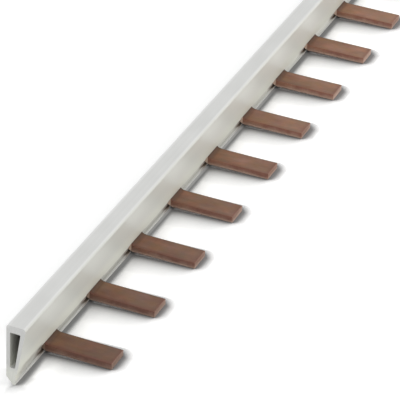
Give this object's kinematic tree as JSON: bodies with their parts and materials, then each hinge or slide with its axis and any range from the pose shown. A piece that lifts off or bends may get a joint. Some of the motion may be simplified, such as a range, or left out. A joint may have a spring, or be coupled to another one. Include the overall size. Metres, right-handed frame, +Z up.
{
  "type": "terminal jumper",
  "caption": "Comb-type terminal jumper: flat copper tines bent out of a strip that stands inside a hollow, light grey insulating profile; bridges terminals side by side.",
  "frame": {"origin": "middle of the bar's footprint, on the level of the keel under the profile", "axes": "+X along the bar, +Y from the tine tips to the profile's flat back, +Z up, square to the tines"},
  "size_m": [0.1864, 0.0148, 0.0121],
  "materials": {
    "profile_plastic": "light grey extruded plastic, satin, slightly translucent",
    "comb_copper": null
  },
  "bodies": {
    "root": {"insulating_profile": "profile_plastic", "copper_comb": "comb_copper"}
  },
  "joints": []
}
